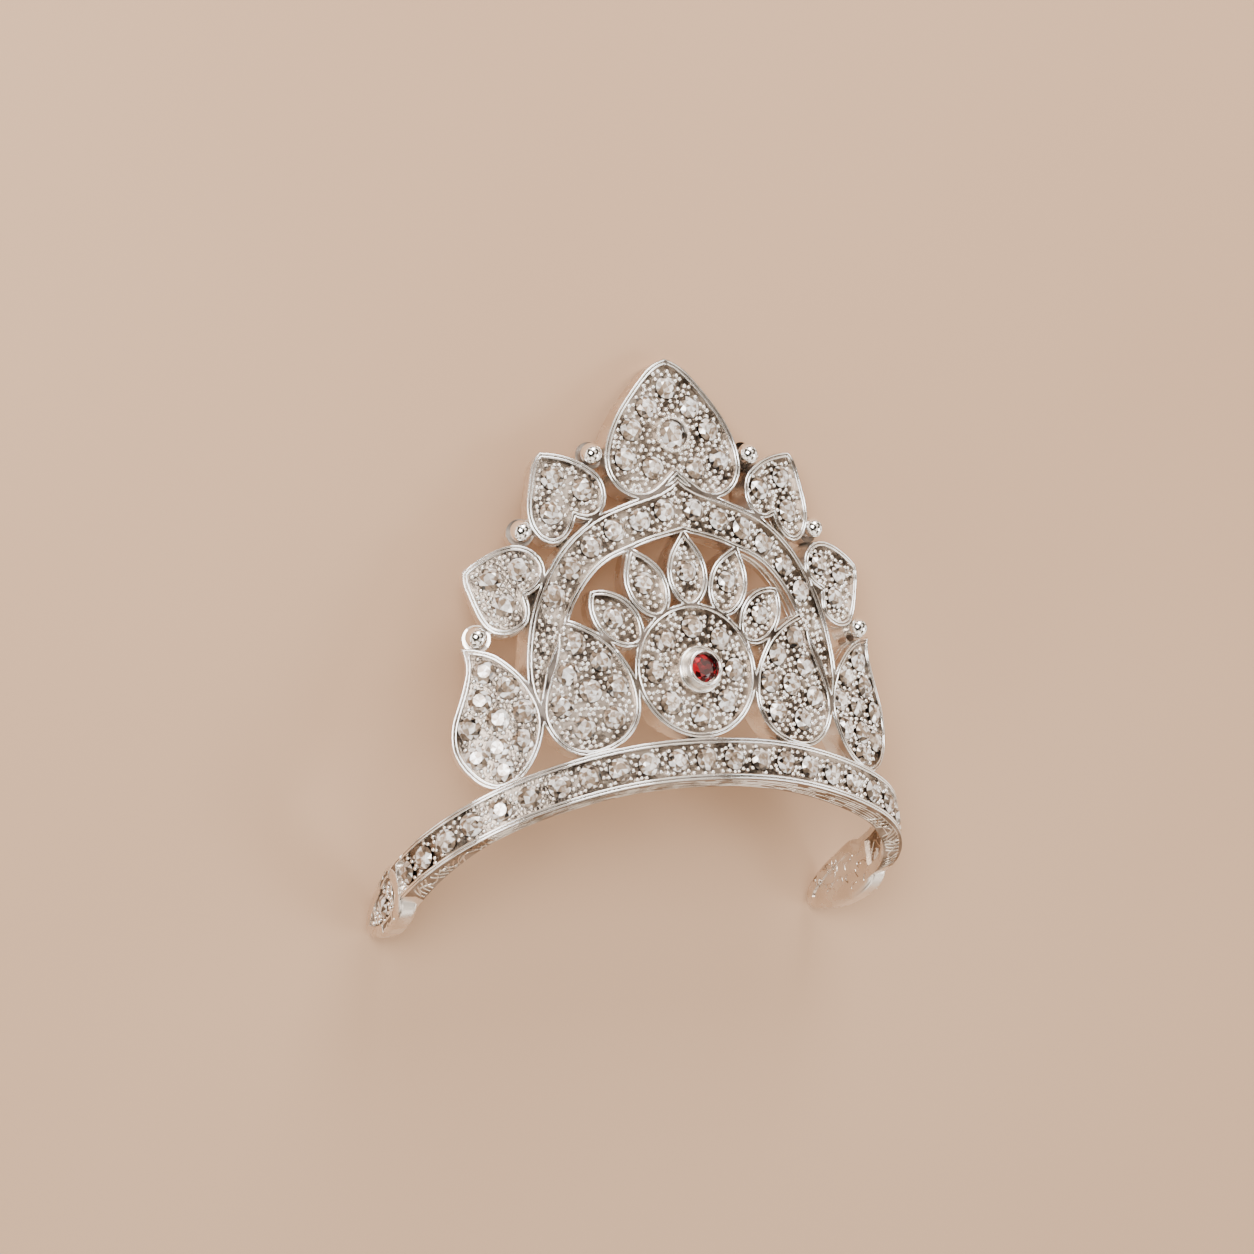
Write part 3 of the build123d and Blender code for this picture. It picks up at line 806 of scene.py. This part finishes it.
def leafAndVeins(how, side, middle, way):  # one curled leaf, and hatching between it and the recess's edge
    spots = []
    for turn in range(how["leafPoints"]):
        angle, reach = turn * how["leafTurn"], how["leafReach"] - turn * how["leafCurl"]
        rise = how["leafRise"] + reach * how["leafSquash"] * sin(angle)
        spots.append(onInside(side * (middle + reach * cos(angle)), way * rise))
    yield from unbroken(spots)
    for vein in range(how["veins"]):
        start = middle - how["veinSpan"] / 2 + vein * how["veinSpan"] / how["veins"]
        yield from unbroken(
            onInside(side * (start + how["veinLean"] * k), way * (how["veinFrom"] + how["veinRise"] * k))
            for k in range(how["veinPoints"]))


def underHatch(how, side):  # a wavy stem and groups of slanted strokes under each arm
    step, reach = how["leafStep"], how["underReach"] - how["grooveReach"]
    middle, swing = how["underStem"]
    under = [how["grooveReach"] + n * step for n in range(floor(reach / step))]
    yield from unbroken(
        onUnderside(side * along, middle + swing * sin(2 * pi * along / how["wave"])) for along in under)
    steps = how["hatchSteps"]
    for n in range(floor(reach / how["hatchPitch"])):
        start, way = how["grooveReach"] + n * how["hatchPitch"], 1 if n // how["hatchGroup"] % 2 else -1
        yield from unbroken(
            onUnderside(
                side * (start + way * how["hatchSlant"] * k / steps + how["hatchBow"] * sin(pi * k / steps)),
                how["hatchFrom"] - how["hatchRun"] * k / steps)
            for k in range(steps + 1))


def leafLines(how, side):  # a wavy stem with a leaf in each of its bends, and the strokes under the arm
    def bend(along):
        return how["swing"] * sin(2 * pi * (along - how["from"]) / how["wave"])

    reach, lines = how["to"] - how["from"], []
    stem = [how["from"] + n * how["leafStep"] for n in range(floor(reach / how["leafStep"]))]
    lines += unbroken(onInside(side * along, bend(along)) for along in stem)
    for n in range(floor(2 * reach / how["wave"])):
        middle = how["from"] + (n + 0.5) * how["wave"] / 2
        lines += leafAndVeins(how, side, middle, 1 if n % 2 else -1)
    lines += underHatch(how, side)
    return lines


def footStrokes(how, side):  # short curled strokes in the recess inside a foot
    random, lines, placed = Random(how["footSeed"]), [], footFrame(side)
    for _ in range(how["footStrokes"]):
        along = how["footMiddle"][0] + random.uniform(-1, 1) * how["footReach"][0]
        height = how["footMiddle"][1] + random.uniform(-1, 1) * how["footReach"][1]
        way, curl, spots = random.uniform(0, pi), random.uniform(-how["strokeCurl"], how["strokeCurl"]), []
        for _ in range(how["strokePoints"]):
            start, _, _, out = placed(along, height)
            spots.append(metalTree.ray_cast(start - out * how["strokeFrom"], out, how["strokeReach"])[0])
            along, height = along + how["strokeStep"] * cos(way), height + how["strokeStep"] * sin(way)
            way += curl
        lines += unbroken(spots)
    return lines


# ---- sheets: thin skins over recess floors, rims and carved parts, coloured dark as painted shade ----
rimLevels = (0, crown["bandProud"], -crown["seatDepth"])


def levelled(corners, levels):  # whether all lie at one of these distances out of the wall
    return any(all(abs(wallPlace(corner)[2] - level) < levelSlack for corner in corners) for level in levels)


def inRecess(corners, normal):
    middle = sum(corners, Vector()) / 3
    if normal.dot(outwardAt(middle)) < roughlyOn:
        return False
    if nearFoot(middle):
        return all(abs(footLevel(corner) - foot["floor"]) < levelSlack for corner in corners)
    return levelled(corners, granuleLevels)


def onRim(corners, normal):  # the flat rims, and the flats that the beads' stems stand on
    middle = sum(corners, Vector()) / 3
    return normal.dot(outwardAt(middle)) > squareOn and levelled(corners, rimLevels)


def inCarving(corners, normal):  # the band's underside and the recess inside each arm
    middle = sum(corners, Vector()) / 3
    along, height, out = wallPlace(middle)
    below, (lowest, highest) = height - bandHeight(along), carving["underside"]
    if normal.z < -roughlyOn and lowest < below < highest:
        return abs(along) < carving["underReach"]
    onFloor = abs(out - carving["floorOut"]) < carving["floorSlack"] and abs(below) < carving["floorHalf"]
    return onFloor and normal.dot(outwardAt(middle)) < -roughlyOn


def makeSheet(name, chosen, lift):  # a skin over the faces that a test picks
    points, faces = [], []
    for face in metalFaces:
        corners = [metalCorners[n] for n in face]
        normal = (corners[1] - corners[0]).cross(corners[2] - corners[0]).normalized()
        if chosen(corners, normal):
            faces.append([len(points) + n for n in range(3)])
            points += [lying @ (corner + normal * lift) for corner in corners]
    piece = fromLists(name, points, faces)
    pick(piece)
    bpy.ops.object.mode_set(mode="EDIT")
    bpy.ops.mesh.select_all(action="SELECT")
    bpy.ops.mesh.remove_doubles(threshold=sheetWeldWithin)
    bpy.ops.object.mode_set(mode="OBJECT")
    print(name, "made,", len(piece.data.polygons), "faces")
    return piece


# ---- finishes ----
silverLook = {"cloudScale": 420.0, "cloudDetail": 3.0, "smoother": 0.4, "rougher": 0.5, "bumpStrength": 0.25}
stoneLook = {"sparkleScale": 2600.0, "glintShare": 0.7, "sparkleShare": 0.34, "stops": (0.08, 0.5, 0.95)}


def silverFinish(name, dark, light, roughness, bumpScale=4200.0, bumpDepth=0.00001, spread=1.0):
    made = Finish(name, Metallic=1.0)
    cloud = made.noise(made.place(), silverLook["cloudScale"], silverLook["cloudDetail"])
    smoothest = roughness * (1 - silverLook["smoother"] * spread)
    roughest = roughness * (1 + silverLook["rougher"] * spread)
    made.feed(
        Base_Color=made.mix(cloud.ramp((0.38, 0.0), (0.62, 1.0)), dark, light),
        Roughness=cloud.ramp((0.35, smoothest), (0.65, roughest)),
        Normal=made.bump(made.noise(made.place(), bumpScale), silverLook["bumpStrength"], bumpDepth),
    )
    return made


def stoneFinish(name, metallic, roughness, density, *shades):  # each facet's base colour is a painted glint, dark to bright, for light reflected in the stone
    made = Finish(name, Metallic=metallic, Roughness=roughness, IOR=density)
    glint = made.node("ShaderNodeAttribute", {"attribute_name": "glint"}, output="Fac")
    # painted sparkle: small cells of dark and bright colour on the facets stand in for glints
    sparkleCells = made.node(
        "ShaderNodeTexVoronoi", Vector=made.place(), Scale=stoneLook["sparkleScale"], output="Color")
    sparkleFleck = made.node("ShaderNodeSeparateColor", None, sparkleCells)
    shade = glint * stoneLook["glintShare"] + sparkleFleck * stoneLook["sparkleShare"]
    made.feed(Base_Color=shade.ramp(*zip(stoneLook["stops"], shades)))
    return made


polished = silverFinish("polishedSilver", (0.74, 0.67, 0.60), (0.85, 0.795, 0.74), 0.27, spread=0.3)
beadSilver = silverFinish("beadSilver", (0.92, 0.90, 0.87), (0.98, 0.965, 0.95), 0.07, 900.0, 0.000002)
wireSilver = silverFinish("wireSilver", (0.93, 0.91, 0.885), (0.98, 0.97, 0.955), 0.1)
grainSilver = silverFinish("grainSilver", (0.86, 0.82, 0.78), (0.97, 0.95, 0.93), 0.12)
# painted shade: near-black silver on the rims between the two wires and on the flats under the beads
grooveShadeSilver = silverFinish("grooveShadeSilver", (0.10, 0.08, 0.065), (0.24, 0.20, 0.17), 0.3)
# a pitted bump, and a dark base colour that is painted shade and painted reflection on the recess floors
# between the granules
shadedFloorSilver = silverFinish("pittedSilverPaintedShade", (0.09, 0.07, 0.055), (0.36, 0.295, 0.24), 0.24, 3600.0, 0.00028)
# painted shade: dark silver on the band's underside and in the recess inside each arm
undersideShadeSilver = silverFinish("undersideShadeSilver", (0.16, 0.115, 0.08), (0.34, 0.26, 0.20), 0.35, 2600.0, 0.00012)
carvedSilver = silverFinish("carvedSilver", (0.40, 0.32, 0.25), (0.78, 0.69, 0.60), 0.24)
# the clear stone's colours are painted glints and painted reflection; the red stone is deep red, with painted
# glints from dark to bright
whiteStone = stoneFinish(
    "whiteStone", 0.2, 0.05, 1.65, (0.012, 0.01, 0.009), (0.30, 0.215, 0.15), (0.97, 0.965, 0.96))
redStone = stoneFinish(
    "deepRedStone", 0.0, 0.04, 1.5, (0.006, 0.0, 0.0), (0.075, 0.001, 0.003), (0.5, 0.008, 0.018))

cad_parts["crown_frame"].material_slots[0].material = polished.material

# ---- the pieces ----
grainSeed, footGrainSeed = 5, 6
handed = ((1, "right"), (-1, "left"))


def inSilver(piece, finish):
    finishPiece(piece, finish.material, "silver")


rims, sides = rimLines(rimWire)
inSilver(makeWires("rim_wires", rims, rimWire["radius"]), wireSilver)
inSilver(makeWires("side_wires", sides, rimWire["sideRadius"]), polished)
inSilver(makeSheet("recess_floors", inRecess, 0.015), shadedFloorSilver)
inSilver(makeSheet("rim_grooves", onRim, 0.01), grooveShadeSilver)
inSilver(makeSheet("carved_floors", inCarving, 0.01), undersideShadeSilver)
inSilver(makeBeads(bead), beadSilver)
inSilver(makeRing("tube_rim", rings["tubeRadius"], rings["tubeWire"], rings["tubeOut"]), wireSilver)
inSilver(makeRing("collar_ring", rings["collarRadius"], rings["collarWire"], rings["collarOut"]), wireSilver)
inSilver(makeWires("band_grooves", grooveLines(carving), carving["grooveWire"]), carvedSilver)
for side, word in handed:
    leaves, strokes = leafLines(carving, side), footStrokes(carving, side)
    inSilver(makeWires("arm_leaves_" + word, leaves, carving["leafWire"]), carvedSilver)
    inSilver(makeWires("foot_strokes_" + word, strokes, carving["grooveWire"]), carvedSilver)
wallStones, footStones = [], {1: [], -1: []}
for seed, name in enumerate(sorted(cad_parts)):
    if name == "crown_frame":
        continue
    red = name == "red_stone"
    cut = makeStones(name + "_cut", name, brilliant, seed)
    finishPiece(cut, (redStone if red else whiteStone).material, "red_stone" if red else "clear_stone", name)
    for middle, out, width in stonePlaces(name):
        side = 1 if middle.x >= 0 else -1
        if name.startswith("foot"):
            point, way, _, _ = footFrame(side)(0, 0)
            footStones[side].append(((middle - point).dot(way), middle.z, width))
        else:
            wallStones.append((*wallPlace(middle)[:2], width))
print("stones cut")
wallStones.append((0, 0, rings["collarClear"]))
claws = clawSpots(rings)
grains = packGranules("granules", wallFrame, wallSpots(granule), wallStones, granuleLevels, granule,
                      grainSeed, claws)
inSilver(grains, grainSilver)
for side, word in handed:
    grains = packGranules("foot_granules_" + word, footFrame(side), footSpots(granule), footStones[side],
                          (foot["floor"],), granule, footGrainSeed)
    inSilver(grains, grainSilver)
